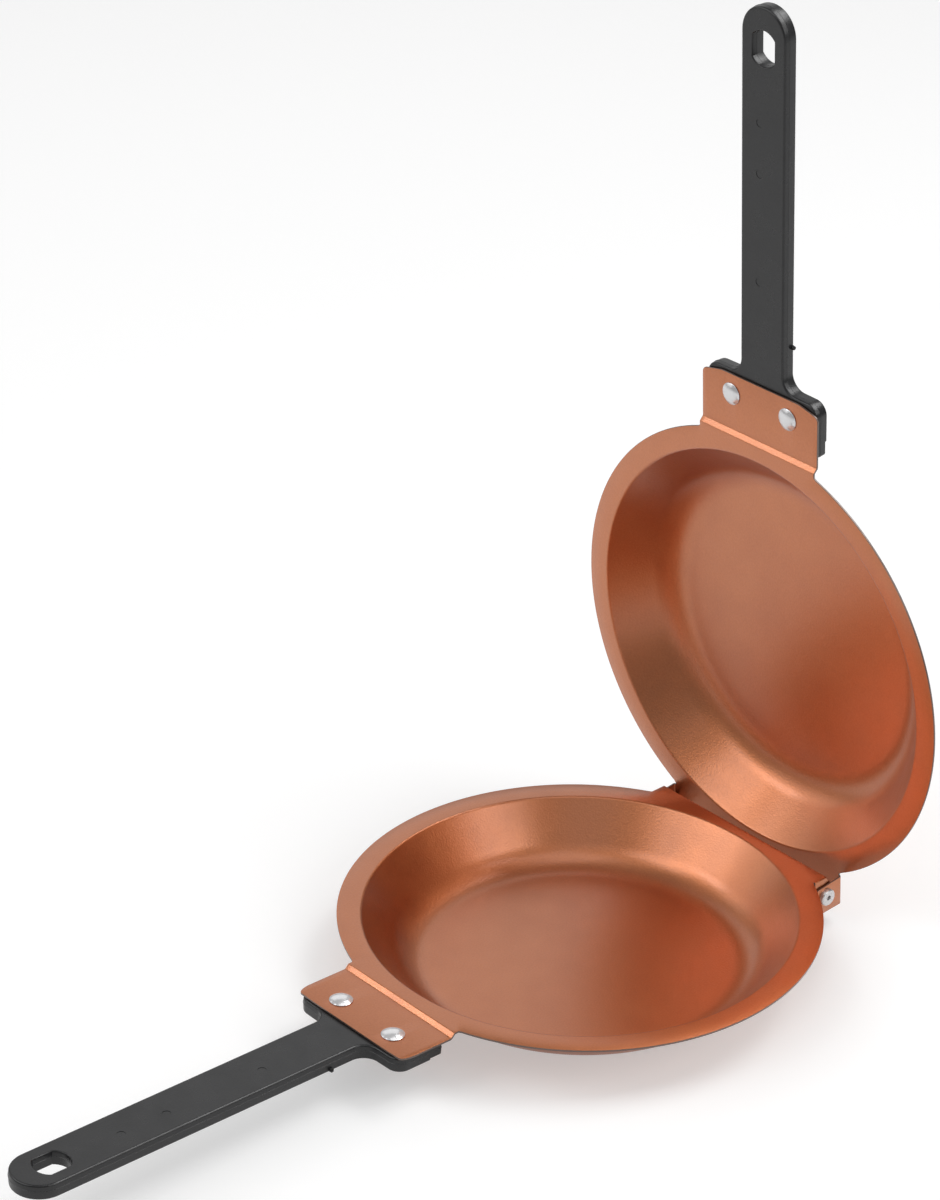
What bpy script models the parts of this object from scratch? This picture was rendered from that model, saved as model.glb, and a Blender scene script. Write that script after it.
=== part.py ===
"""Double sided flip pan: two stamped steel pans hinged rim to rim, each with a moulded handle.

Frame: metres, +Z up. The origin is the centre of the lower pan's base, on the surface that it
stands on. -Y points to the lower handle and +Y to the hinge, whose axis runs along X.
The upper pan stands open, as in use when food is turned out. OPEN_ANGLE = 0 would close it.
"""
import math

import bmesh
import bpy
from mathutils import Matrix

MM = 0.001

# Sheet metal: both pans are pressed from the same gauge.
SHEET = 0.8 * MM
RIM_RADIUS = 100.0 * MM
MOUTH_RADIUS = 90.0 * MM
FLOOR_RADIUS = 72.0 * MM
PAN_DEPTH = 23.3 * MM
MOUTH_BEND = 3.0 * MM
FLOOR_BEND = 14.0 * MM

# Clearance between separate pieces that touch on the real object.
GAP = 0.3 * MM

# Hinge: folded ears on both pans, the upper pan's outside the lower pan's.
PIVOT_Y = 94.0 * MM
PIVOT_DROP = 8.5 * MM
OPEN_ANGLE = math.radians(86.7)
LOWER_EAR_X = 49.0 * MM
UPPER_EAR_X = LOWER_EAR_X + GAP
INNER_BEND = 0.6 * MM
OUTER_BEND = INNER_BEND + SHEET
LOWER_BACK_EDGE = 1.0 * MM
UPPER_BACK_EDGE = 7.9 * MM
LEAF_STRIP = 1.5 * MM
EAR_FRONT_START = 0.4 * MM
EAR_FRONT = -5.0 * MM
LOWER_EAR_END = -6.2 * MM
UPPER_EAR_END = -5.7 * MM
EAR_CORNER = 1.6 * MM
EAR_STOP_GAP = 0.35 * MM
PIVOT_HOLE_RADIUS = 2.5 * MM

# Handle tab: stepped away from the rim so that the rivet heads clear when the pan is shut.
TAB_HALF_WIDTH = 31.0 * MM
TAB_ROOT = 95.0 * MM
STEP_START = 97.0 * MM
STEP_FOOT = 99.3 * MM
STEP_DEPTH = 1.8 * MM
STEP_BEND = 0.9 * MM
TAB_LENGTH = 25.4 * MM
TAB_CORNER = 5.5 * MM
LOWER_TAB_LIFT = math.radians(1.9)
UPPER_TAB_LIFT = math.radians(-0.3)

# Rivets through each tab, measured from the foot of the step.
RIVET_X = 15.8 * MM
RIVET_Y = -15.4 * MM
RIVET_HOLE_RADIUS = 2.6 * MM
RIVET_SHANK_RADIUS = 2.3 * MM
RIVET_HEAD_RADIUS = 4.6 * MM
RIVET_HEAD_HEIGHT = 1.2 * MM
RIVET_HEAD_BAND = 0.3 * MM
TAIL_RADIUS = 3.6 * MM
TAIL_HEIGHT = 1.0 * MM
WASHER_RADIUS = 4.9 * MM
WASHER_THICKNESS = 0.8 * MM

# Handle: one flat moulding with a T-shaped head under the tab and a slot to hang it by.
HANDLE_THICKNESS = 6.4 * MM
HANDLE_HALF_WIDTH = 12.0 * MM
HANDLE_END = -186.0 * MM
HANDLE_EDGE = 0.9 * MM
HEAD_HALF_WIDTH = 30.1 * MM
HEAD_NEAR = -2.2 * MM
HEAD_FAR = -25.6 * MM
HEAD_SHOULDER_SLOPE = 0.4 * MM
HEAD_FAR_CORNER = 6.0 * MM
HEAD_NEAR_CORNER = 1.5 * MM
HEAD_FILLET = 6.5 * MM
RELIEF_LENGTH = 6.5 * MM
RELIEF_DEPTH = 1.2 * MM
COUNTERBORE_RADIUS = 5.4 * MM
COUNTERBORE_DEPTH = 2.6 * MM
HOLE_Y = -168.7 * MM
HOLE_RADIUS = 7.75 * MM
HOLE_HALF_WIDTH = 6.2 * MM

# The cutters' reach past the surfaces that they cut.
CUT_THROUGH = 15.0 * MM
SHEET_CUT_THROUGH = 3.0 * MM

# Hinge rivets: tubular, one through each pair of ears.
HINGE_BARREL_RADIUS = 2.2 * MM
HINGE_BORE_RADIUS = 1.2 * MM
HINGE_HEAD_RADIUS = 3.75 * MM
HINGE_HEAD_HEIGHT = 1.1 * MM
HINGE_TAIL_RADIUS = 3.4 * MM
HINGE_TAIL_HEIGHT = 0.8 * MM

# Heights that follow from the sizes above.
RIM_HEIGHT = PAN_DEPTH + SHEET
PIVOT_HEIGHT = RIM_HEIGHT - PIVOT_DROP
LOWER_PLANE = PIVOT_DROP
UPPER_PLANE = PIVOT_DROP + GAP
HANDLE_NEAR_FACE = SHEET + GAP
HANDLE_FAR_FACE = HANDLE_NEAR_FACE + HANDLE_THICKNESS
SEAT_HEIGHT = HANDLE_FAR_FACE - COUNTERBORE_DEPTH

COPPER = ("copper_coating", (0.52, 0.19, 0.085, 1.0), 0.42, 0.75)
PHENOLIC = ("black_phenolic", (0.035, 0.036, 0.038, 1.0), 0.55, 0.0)
ALUMINIUM = ("rivet_aluminium", (0.82, 0.82, 0.83, 1.0), 0.22, 1.0)
STEEL = ("plated_steel", (0.66, 0.67, 0.68, 1.0), 0.28, 1.0)


def clear_scene():
    for old in list(bpy.data.objects):
        bpy.data.objects.remove(old, do_unlink=True)


def new_collection(name):
    group = bpy.data.collections.new(name)
    bpy.context.scene.collection.children.link(group)
    return group


def make_material(name, colour, roughness, metallic):
    material = bpy.data.materials.new(name)
    material.use_nodes = True
    shader = material.node_tree.nodes["Principled BSDF"]
    shader.inputs["Base Color"].default_value = colour
    shader.inputs["Roughness"].default_value = roughness
    shader.inputs["Metallic"].default_value = metallic
    return material


def add_object(name, data, group, finish=None, parent=None, location=(0, 0, 0), turn=(0, 0, 0)):
    """Link new data as a named object, finished and placed under its parent."""
    made = bpy.data.objects.new(name, data)
    group.objects.link(made)
    made.location = location
    made.rotation_euler = turn
    made.parent = parent
    if finish is not None:
        data.materials.append(make_material(name + "_" + finish[0], *finish[1:]))
    return made


def mesh_from(bm, name):
    mesh = bpy.data.meshes.new(name)
    bm.to_mesh(mesh)
    bm.free()
    return mesh


def rounded(corners, closed=False):
    """Points along a path of (a, b, radius, steps) corners, each corner turned into an arc."""
    points = []
    count = len(corners)
    for i, (a, b, radius, steps) in enumerate(corners):
        if radius == 0.0 or (not closed and i in (0, count - 1)):
            points.append((a, b))
            continue
        before, after = corners[i - 1], corners[(i + 1) % count]
        into = math.atan2(before[1] - b, before[0] - a)
        out = math.atan2(after[1] - b, after[0] - a)
        opening = (out - into + math.pi) % (2 * math.pi) - math.pi
        middle = into + opening / 2
        reach = radius / math.sin(abs(opening) / 2)
        centre = (a + reach * math.cos(middle), b + reach * math.sin(middle))
        turn = math.pi - abs(opening)
        sense = -1 if opening > 0 else 1
        for step in range(steps + 1):
            angle = middle + math.pi - sense * turn * (0.5 - step / steps)
            points.append((centre[0] + radius * math.cos(angle), centre[1] + radius * math.sin(angle)))
    return points


def turned(name, profile, steps, closed, **placing):
    """A turned piece: a profile in the XZ plane, run round Z by a Screw modifier."""
    bm = bmesh.new()
    verts = [bm.verts.new((x, 0, z)) for x, z in profile]
    for first, second in zip(verts, verts[1:] + (verts[:1] if closed else [])):
        bm.edges.new((first, second))
    piece = add_object(name, mesh_from(bm, name), **placing)
    screw = piece.modifiers.new("turn", "SCREW")
    screw.axis = "Z"
    screw.steps = screw.render_steps = steps
    screw.use_merge_vertices = True
    screw.merge_threshold = 0.00001
    return piece


def cylinder_cutter(name, radius, low, high, group, parent, centre=(0, 0), along_x=False):
    """A wire-drawn cylinder used only to cut holes, along Z or along X."""
    bm = bmesh.new()
    bmesh.ops.create_cone(bm, cap_ends=True, segments=24, radius1=radius, radius2=radius, depth=high - low)
    bmesh.ops.translate(bm, verts=bm.verts, vec=(centre[0], centre[1], (low + high) / 2))
    if along_x:
        bmesh.ops.rotate(bm, verts=bm.verts, matrix=Matrix.Rotation(math.pi / 2, 3, "Y"))
    return wire_cutter(add_object(name, mesh_from(bm, name), group, parent=parent))


def wire_cutter(cutter):
    cutter.hide_render = True
    cutter.display_type = "WIRE"
    return cutter


def cut(piece, cutter):
    boolean = piece.modifiers.new(cutter.name, "BOOLEAN")
    boolean.operation = "DIFFERENCE"
    boolean.object = cutter


def dish_profile(side):
    """The pan's cooking face from its centre to its rim, as (radius, height from the hinge axis)."""
    plane = LOWER_PLANE if side < 0 else UPPER_PLANE
    path = rounded([
        (0.0, PAN_DEPTH, 0.0, 0),
        (FLOOR_RADIUS, PAN_DEPTH, FLOOR_BEND, 4),
        (MOUTH_RADIUS, 0.0, MOUTH_BEND, 3),
        (RIM_RADIUS, 0.0, 0.0, 0)])
    return [(radius, plane + side * depth) for radius, depth in path]


def spin_dish(bm, profile, fold_x):
    """Spin the profile in four arcs, so that columns fall on the tab's and the hinge's corners."""
    tab_angle = math.asin(TAB_HALF_WIDTH / RIM_RADIUS)
    hinge_angle = math.asin(fold_x / RIM_RADIUS)
    side_angle = math.pi - tab_angle - hinge_angle
    start = tab_angle - math.pi / 2
    verts = [bm.verts.new((r * math.cos(start), r * math.sin(start), z)) for r, z in profile]
    last = verts + [bm.edges.new(pair) for pair in zip(verts, verts[1:])]
    for angle, steps in ((side_angle, 30), (2 * hinge_angle, 12), (side_angle, 30), (2 * tab_angle, 8)):
        spun = bmesh.ops.spin(bm, geom=last, cent=(0, 0, 0), axis=(0, 0, 1), angle=angle, steps=steps)
        last = spun["geom_last"]
    bmesh.ops.remove_doubles(bm, verts=bm.verts, dist=0.00001)


def rim_edges(bm, half_width, towards_hinge):
    """The rim's edges within a half width of the middle, on the hinge's side or the handle's."""
    margin = 0.0001
    found = []
    for edge in bm.edges:
        ends = [v.co for v in edge.verts]
        on_rim = all(abs(math.hypot(co.x, co.y) - RIM_RADIUS) < margin for co in ends)
        within = all(abs(co.x) < half_width + margin and (co.y > 0) == towards_hinge for co in ends)
        if on_rim and within:
            found.append(edge)
    return found


def extend(bm, edges):
    """Extrude a row of edges in place and return the new edges and vertices."""
    made = bmesh.ops.extrude_edge_only(bm, edges=edges)["geom"]
    new_edges = [g for g in made if isinstance(g, bmesh.types.BMEdge)]
    new_verts = [g for g in made if isinstance(g, bmesh.types.BMVert)]
    return [e for e in new_edges if all(v in new_verts for v in e.verts)], new_verts


def round_corners(bm, corners, radius):
    bmesh.ops.bevel(bm, geom=corners, offset=radius, offset_type="OFFSET", segments=4,
                    profile=0.5, affect="VERTICES")


def add_tab(bm, side, lift):
    """Run the rim out over the step into the handle tab, tilted by lift towards the other pan."""
    plane = LOWER_PLANE if side < 0 else UPPER_PLANE
    path = rounded([
        (TAB_ROOT, 0.0, 0.0, 0),
        (STEP_START, 0.0, STEP_BEND, 2),
        (STEP_FOOT, STEP_DEPTH, STEP_BEND, 2),
        (STEP_FOOT + TAB_LENGTH * math.cos(lift), STEP_DEPTH - TAB_LENGTH * math.sin(lift), 0.0, 0)])
    edges = rim_edges(bm, TAB_HALF_WIDTH, towards_hinge=False)
    for vert in {v for edge in edges for v in edge.verts}:
        vert.co.y = max(vert.co.y, -TAB_ROOT)
    for distance, depth in path[1:]:
        edges, verts = extend(bm, edges)
        for vert in verts:
            vert.co.y = -distance
            vert.co.z = plane + side * depth
    corners = [v for v in verts if abs(abs(v.co.x) - TAB_HALF_WIDTH) < 0.0001]
    round_corners(bm, corners, TAB_CORNER)


def add_hinge_leaf(bm, fold_x, back_edge):
    """Run the rim back to the leaf's straight edge and return the leaf's two side edges."""
    rim = rim_edges(bm, fold_x, towards_hinge=True)
    edges, verts = extend(bm, rim)
    for vert in verts:
        vert.co.y = PIVOT_Y + back_edge
    for vert in {v for edge in rim for v in edge.verts}:
        vert.co.y = min(vert.co.y, PIVOT_Y + back_edge - LEAF_STRIP)
    margin = 0.0001
    sides = []
    for edge in bm.edges:
        at_fold = all(abs(abs(v.co.x) - fold_x) < margin for v in edge.verts)
        behind_rim = all(v.co.y > 0 for v in edge.verts) and any(v in verts for v in edge.verts)
        if at_fold and behind_rim and edge not in edges:
            sides.append(edge)
    return sides


def add_ear(bm, edge, ear_x, bend, rows):
    """Fold a leaf's side edge down past the hinge axis; rows give each level's front and back."""
    side = math.copysign(1, edge.verts[0].co.x)
    top = edge.verts[0].co.z
    folds = 3
    edges = [edge]
    for fold in range(1, folds + 1):
        angle = fold / folds * math.pi / 2
        edges, verts = extend(bm, edges)
        for vert in verts:
            vert.co.x = side * (ear_x - bend + bend * math.sin(angle))
            vert.co.z = top - bend + bend * math.cos(angle)
            if fold == 1 and vert.co.y < PIVOT_Y - 2 * MM:
                vert.co.y += EAR_FRONT_START
    for front, back, height in rows:
        edges, verts = extend(bm, edges)
        verts.sort(key=lambda v: v.co.y)
        for vert, distance in zip(verts, (front, back)):
            vert.co.y = PIVOT_Y + distance
            vert.co.z = height
    round_corners(bm, verts, EAR_CORNER)


def stop_edge(height):
    """How far back a lower ear reaches at a height, to meet the open upper pan's rim face."""
    return (UPPER_PLANE - height * math.cos(OPEN_ANGLE)) / math.sin(OPEN_ANGLE) - EAR_STOP_GAP


def make_pan(name, side, lift, group, cutters, parent, tab, location):
    """One pressed pan with its tab and folded ears; side is -1 for the lower and 1 for the upper."""
    bm = bmesh.new()
    if side < 0:
        ear_x, bend, back_edge = LOWER_EAR_X, OUTER_BEND, LOWER_BACK_EDGE
        rows = [(EAR_FRONT, stop_edge(0.0), 0.0), (EAR_FRONT, stop_edge(LOWER_EAR_END), LOWER_EAR_END)]
    else:
        ear_x, bend, back_edge = UPPER_EAR_X, INNER_BEND, UPPER_BACK_EDGE
        rows = [(EAR_FRONT, UPPER_BACK_EDGE, UPPER_EAR_END)]
    fold_x = ear_x - bend
    spin_dish(bm, dish_profile(side), fold_x)
    add_tab(bm, side, lift)
    for edge in add_hinge_leaf(bm, fold_x, back_edge):
        add_ear(bm, edge, ear_x, bend, rows)
    bmesh.ops.translate(bm, verts=bm.verts, vec=(0, -PIVOT_Y, 0))
    bmesh.ops.recalc_face_normals(bm, faces=bm.faces)
    floor = min(bm.faces, key=lambda f: f.calc_center_median().xy.length_squared)
    if floor.normal.z > 0:
        bmesh.ops.reverse_faces(bm, faces=bm.faces)
    pan = add_object(name, mesh_from(bm, name), group, finish=COPPER, parent=parent, location=location)
    wall = pan.modifiers.new("sheet", "SOLIDIFY")
    wall.thickness = SHEET
    wall.offset = 1.0 if side < 0 else -1.0
    wall.use_even_offset = True
    reach = UPPER_EAR_X + CUT_THROUGH
    cut(pan, cylinder_cutter(name + "_pivot_hole", PIVOT_HOLE_RADIUS, -reach, reach, cutters,
                             pan, along_x=True))
    for hand, x in (("left", -RIVET_X), ("right", RIVET_X)):
        cut(pan, cylinder_cutter(name + "_rivet_hole_" + hand, RIVET_HOLE_RADIUS, -SHEET_CUT_THROUGH,
                                 SHEET_CUT_THROUGH, cutters, tab, centre=(x, RIVET_Y)))
    return pan


def handle_outline():
    right = [
        (HEAD_HALF_WIDTH, HEAD_NEAR, HEAD_NEAR_CORNER, 2),
        (HEAD_HALF_WIDTH, HEAD_FAR, HEAD_FAR_CORNER, 5),
        (HANDLE_HALF_WIDTH, HEAD_FAR - HEAD_SHOULDER_SLOPE, HEAD_FILLET, 5),
        (HANDLE_HALF_WIDTH, HANDLE_END, HANDLE_HALF_WIDTH * 0.999, 7)]
    left = [(-x, y, radius, steps) for x, y, radius, steps in reversed(right)]
    return rounded(right + left, closed=True)


def hanging_hole_outline():
    """A round hole whose two sides are flattened, along the handle."""
    points = []
    for step in range(24):
        angle = step / 24 * 2 * math.pi
        across = HOLE_RADIUS * math.cos(angle)
        points.append((max(-HOLE_HALF_WIDTH, min(HOLE_HALF_WIDTH, across)),
                       HOLE_Y + HOLE_RADIUS * math.sin(angle)))
    return points


def make_handle(name, group, cutters, tab):
    """A flat moulding with softened edges, counterbored on its far face for the rivet tails."""
    curve = bpy.data.curves.new(name, "CURVE")
    curve.dimensions = "2D"
    curve.fill_mode = "BOTH"
    curve.extrude = HANDLE_THICKNESS / 2 - HANDLE_EDGE
    curve.bevel_depth = HANDLE_EDGE
    curve.bevel_resolution = 1
    curve.offset = -HANDLE_EDGE
    for outline in (handle_outline(), hanging_hole_outline()):
        spline = curve.splines.new("POLY")
        spline.points.add(len(outline) - 1)
        for point, (x, y) in zip(spline.points, outline):
            point.co = (x, y, 0, 1)
        spline.use_cyclic_u = True
    middle = (HANDLE_NEAR_FACE + HANDLE_FAR_FACE) / 2
    flat = add_object(name + "_outline", curve, group, parent=tab, location=(0, 0, middle))
    bpy.context.view_layer.update()
    solid = bpy.data.meshes.new_from_object(flat.evaluated_get(bpy.context.evaluated_depsgraph_get()))
    bpy.data.objects.remove(flat, do_unlink=True)
    bm = bmesh.new()
    bm.from_mesh(solid)
    bmesh.ops.remove_doubles(bm, verts=bm.verts, dist=0.00003)
    bmesh.ops.recalc_face_normals(bm, faces=bm.faces)
    handle = add_object(name, mesh_from(bm, name), group, finish=PHENOLIC, parent=tab,
                        location=(0, 0, middle))
    for hand, x in (("left", -RIVET_X), ("right", RIVET_X)):
        cut(handle, cylinder_cutter(f"{name}_shank_hole_{hand}", RIVET_HOLE_RADIUS, -SHEET_CUT_THROUGH,
                                    CUT_THROUGH, cutters, tab, centre=(x, RIVET_Y)))
        cut(handle, cylinder_cutter(f"{name}_counterbore_{hand}", COUNTERBORE_RADIUS, SEAT_HEIGHT,
                                    CUT_THROUGH, cutters, tab, centre=(x, RIVET_Y)))
    bm = bmesh.new()
    bmesh.ops.create_cube(bm, size=1.0)
    bmesh.ops.scale(bm, verts=bm.verts, vec=(3 * HEAD_HALF_WIDTH, 2 * RELIEF_LENGTH, 2 * RELIEF_DEPTH))
    relief = add_object(name + "_relief", mesh_from(bm, name + "_relief"), cutters, parent=tab,
                        location=(0, HEAD_NEAR, HANDLE_FAR_FACE))
    cut(handle, wire_cutter(relief))
    return handle


def tab_rivet(name, group, tab, x):
    """A domed rivet from the tab's cooking side, its tail rolled over a washer in the handle."""
    under_head = -GAP
    dome_foot = under_head - RIVET_HEAD_BAND
    dome_height = RIVET_HEAD_HEIGHT - RIVET_HEAD_BAND
    dome_steps = 4
    crown = []
    for step in range(dome_steps + 1):
        angle = math.pi / 2 * (1 - step / dome_steps)
        crown.append((RIVET_HEAD_RADIUS * math.cos(angle), dome_foot - dome_height * math.sin(angle)))
    tail_start = SEAT_HEIGHT + 2 * GAP + WASHER_THICKNESS
    tail = [
        (RIVET_SHANK_RADIUS, tail_start),
        (TAIL_RADIUS, tail_start),
        (TAIL_RADIUS, tail_start + 0.5 * TAIL_HEIGHT),
        (0.7 * TAIL_RADIUS, tail_start + TAIL_HEIGHT),
        (0.0, tail_start + TAIL_HEIGHT)]
    profile = crown + [(RIVET_HEAD_RADIUS, under_head), (RIVET_SHANK_RADIUS, under_head)] + tail
    profile.reverse()
    return turned(name, profile, 20, False, group=group, finish=ALUMINIUM, parent=tab,
                  location=(x, RIVET_Y, 0))


def tail_washer(name, group, tab, x):
    low = SEAT_HEIGHT + GAP
    high = low + WASHER_THICKNESS
    section = [(WASHER_RADIUS, high), (WASHER_RADIUS, low), (RIVET_HOLE_RADIUS, low), (RIVET_HOLE_RADIUS, high)]
    return turned(name, section, 20, True, group=group, finish=STEEL, parent=tab,
                  location=(x, RIVET_Y, 0))


def hinge_rivet(name, group, side):
    """A tubular rivet through a pair of ears, its head outside and its rolled end inside."""
    under_head = UPPER_EAR_X + SHEET + GAP
    under_tail = LOWER_EAR_X - SHEET - GAP
    head_top = under_head + HINGE_HEAD_HEIGHT
    tail_top = under_tail - HINGE_TAIL_HEIGHT
    section = [
        (HINGE_BORE_RADIUS, head_top),
        (0.7 * HINGE_HEAD_RADIUS, head_top),
        (HINGE_HEAD_RADIUS, under_head + 0.4 * HINGE_HEAD_HEIGHT),
        (HINGE_HEAD_RADIUS, under_head),
        (HINGE_BARREL_RADIUS, under_head),
        (HINGE_BARREL_RADIUS, under_tail),
        (HINGE_TAIL_RADIUS, under_tail),
        (HINGE_TAIL_RADIUS, under_tail - 0.5 * HINGE_TAIL_HEIGHT),
        (0.75 * HINGE_TAIL_RADIUS, tail_top),
        (HINGE_BORE_RADIUS, tail_top)]
    return turned(name, section, 20, True, group=group, finish=STEEL,
                  location=(0, PIVOT_Y, PIVOT_HEIGHT), turn=(0, side * math.pi / 2, 0))


def make_half(prefix, side, lift, group, cutters, parent, pivot):
    """A pan with its handle, rivets and washers; pivot is the hinge axis's place under the parent."""
    plane = LOWER_PLANE if side < 0 else UPPER_PLANE
    tab_place = (0, pivot[1] - PIVOT_Y - STEP_FOOT, pivot[2] + plane + side * STEP_DEPTH)
    tab_turn = (lift, math.pi if side < 0 else 0.0, 0)
    tab = add_object(prefix + "_tab_frame", None, group, parent=parent, location=tab_place, turn=tab_turn)
    make_pan(prefix + "_pan", side, lift, group, cutters, parent, tab, pivot)
    make_handle(prefix + "_handle", group, cutters, tab)
    for hand, x in (("left", -RIVET_X), ("right", RIVET_X)):
        flip = side if side < 0 else 1
        tab_rivet(f"{prefix}_handle_rivet_{hand}", group, tab, flip * x)
        tail_washer(f"{prefix}_rivet_washer_{hand}", group, tab, flip * x)


def build():
    clear_scene()
    pan = new_collection("flip_pan")
    cutters = new_collection("cutters")
    make_half("lower", -1, LOWER_TAB_LIFT, pan, cutters, None, (0, PIVOT_Y, PIVOT_HEIGHT))
    lid = add_object("lid_hinge", None, pan, location=(0, PIVOT_Y, PIVOT_HEIGHT), turn=(-OPEN_ANGLE, 0, 0))
    make_half("upper", 1, UPPER_TAB_LIFT, pan, cutters, lid, (0, 0, 0))
    hinge_rivet("hinge_rivet_left", pan, -1)
    hinge_rivet("hinge_rivet_right", pan, 1)
    bpy.context.view_layer.update()


build()
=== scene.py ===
"""A double sided flip pan: two copper-coloured pressed pans hinged rim to rim, with black handles.

The pieces follow in the order in which the pan is put together. Every piece is shaped about the
hinge axis, with depth counted away from the plane where the two rims meet, and then set in place.
"""
import math

import bmesh
import bpy
from mathutils import Matrix, Vector
from mathutils.geometry import tessellate_polygon


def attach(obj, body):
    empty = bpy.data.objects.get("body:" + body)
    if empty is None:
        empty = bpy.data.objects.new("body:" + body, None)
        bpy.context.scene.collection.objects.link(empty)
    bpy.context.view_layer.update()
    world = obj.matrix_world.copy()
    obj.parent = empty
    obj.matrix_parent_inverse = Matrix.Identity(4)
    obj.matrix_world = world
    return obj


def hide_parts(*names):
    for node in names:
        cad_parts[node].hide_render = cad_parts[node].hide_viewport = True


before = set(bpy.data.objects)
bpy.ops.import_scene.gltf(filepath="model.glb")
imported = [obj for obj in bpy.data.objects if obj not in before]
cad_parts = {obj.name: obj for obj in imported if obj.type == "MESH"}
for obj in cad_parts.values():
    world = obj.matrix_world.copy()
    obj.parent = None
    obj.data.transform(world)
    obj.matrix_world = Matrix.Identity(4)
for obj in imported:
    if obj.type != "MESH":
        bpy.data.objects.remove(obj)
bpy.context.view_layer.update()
MM = 0.001

# The two pans. Each is one pressing of 0.8 mm steel with a sprayed copper-coloured non-stick coat
# that carries a fine metal flake. The rim runs out into a stepped handle tab at the front, and at
# the back two ears are folded off a straight edge: the upper pan's outside the lower pan's.
SHEET = 0.8 * MM
RIM_RADIUS = 99.99 * MM
MOUTH_RADIUS = 90.0 * MM
FLOOR_RADIUS = 72.0 * MM
PAN_DEPTH = 23.3 * MM
MOUTH_BEND = 1.7 * MM
FLOOR_BEND = 20.0 * MM
FLOOR_FLAT = FLOOR_RADIUS - 12.0 * MM
RIM_FLAT = MOUTH_RADIUS + 3.0 * MM
COLUMNS = 240
BEND_STEPS = 10
CUT_BEVEL = 0.2 * MM
BORE_SIDES = 48
PIVOT = Vector((0, 94.0, 15.6)) * MM
SHUT_ANGLE = math.radians(86.7)
OPEN_TURN = Matrix.Rotation(-SHUT_ANGLE, 4, "X")
LOWER_PLANE = 8.5 * MM
UPPER_PLANE = 8.8 * MM
TAB_HALF_WIDTH = 32.3 * MM
TAB_ROOT = 95.0 * MM
STEP_START = 97.0 * MM
STEP_FOOT = 99.3 * MM
STEP_DEPTH = 1.8 * MM
STEP_BEND = 0.9 * MM
STEP_STEEPER = 0.45 * MM
LOWER_TAB_LENGTH = 24.7 * MM
UPPER_TAB_LENGTH = 24.3 * MM
TAB_END_FLAT = 21.0 * MM
TAB_END_SWEEP = 1.25
LOWER_TAB_END_CUT = 0.4 * MM
LOWER_TAB_CORNER = 6.6 * MM
UPPER_TAB_END_CUT = 2.7 * MM
UPPER_TAB_CORNER = 1.8 * MM
LOWER_TAB_LIFT = math.radians(1.9)
UPPER_TAB_LIFT = math.radians(-0.3)
RIVET_X = 15.8 * MM
RIVET_Y = -15.4 * MM
RIVET_HOLE_RADIUS = 2.6 * MM
LOWER_EAR_X = 49.0 * MM
UPPER_EAR_X = 49.3 * MM
INNER_BEND = 0.6 * MM
OUTER_BEND = 0.8 * MM
LOWER_BACK_EDGE = 1.0 * MM
UPPER_BACK_EDGE = 7.9 * MM
LEAF_STRIP = 1.5 * MM
EAR_FRONT_START = 0.4 * MM
EAR_FRONT = -5.0 * MM
LOWER_EAR_END = -6.2 * MM
UPPER_EAR_END = -5.7 * MM
EAR_CORNER = 1.6 * MM
EAR_FOLDS = 8
EAR_MIDDLE = -2.0 * MM
EAR_STOP_GAP = 0.35 * MM
PIVOT_HOLE_RADIUS = 2.5 * MM
PIVOT_BORE_LENGTH = 120.0 * MM
TAB_BORE_LENGTH = 8.0 * MM


def link(name, data):
    """A new object in the scene that holds the data."""
    made = bpy.data.objects.new(name, data)
    bpy.context.scene.collection.objects.link(made)
    return made


def baked(carrier, name):
    """The carrier's finished shape as a plain mesh; the carrier and its modifiers are removed."""
    bpy.context.view_layer.update()
    graph = bpy.context.evaluated_depsgraph_get()
    mesh = bpy.data.meshes.new_from_object(carrier.evaluated_get(graph))
    bpy.data.objects.remove(carrier, do_unlink=True)
    mesh.name = name
    return mesh


def smooth(mesh, sharp_from=40):
    """Shade a mesh smooth, with creases where faces meet at more than so many degrees."""
    mesh.shade_smooth()
    mesh.set_sharp_from_angle(angle=math.radians(sharp_from))


def rounded(corners, closed=False):
    """Points along a path of (a, b, radius, steps) corners, each corner turned into an arc."""
    points = []
    count = len(corners)
    for i, (a, b, radius, steps) in enumerate(corners):
        if radius == 0.0 or (not closed and i in (0, count - 1)):
            points.append((a, b))
            continue
        before, after = corners[i - 1], corners[(i + 1) % count]
        into = math.atan2(before[1] - b, before[0] - a)
        out = math.atan2(after[1] - b, after[0] - a)
        opening = (out - into + math.pi) % (2 * math.pi) - math.pi
        middle = into + opening / 2
        reach = radius / math.sin(abs(opening) / 2)
        centre = (a + reach * math.cos(middle), b + reach * math.sin(middle))
        turn = math.pi - abs(opening)
        sense = -1 if opening > 0 else 1
        for step in range(steps + 1):
            angle = middle + math.pi - sense * turn * (0.5 - step / steps)
            points.append((centre[0] + radius * math.cos(angle),
                           centre[1] + radius * math.sin(angle)))
    return points


def add_nodes(tree, *steps):
    """Add nodes given as (key, type, settings) and return them by key."""
    made = {}
    for key, kind, settings in steps:
        node = tree.nodes.new(kind)
        node.name = node.label = key
        for name, value in settings.items():
            setattr(node, name, value)
        made[key] = node
    return made


def wire(tree, *pairs):
    """Join sockets given as (node, output, node, input)."""
    for source, output, target, socket in pairs:
        tree.links.new(source.outputs[output], target.inputs[socket])


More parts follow.
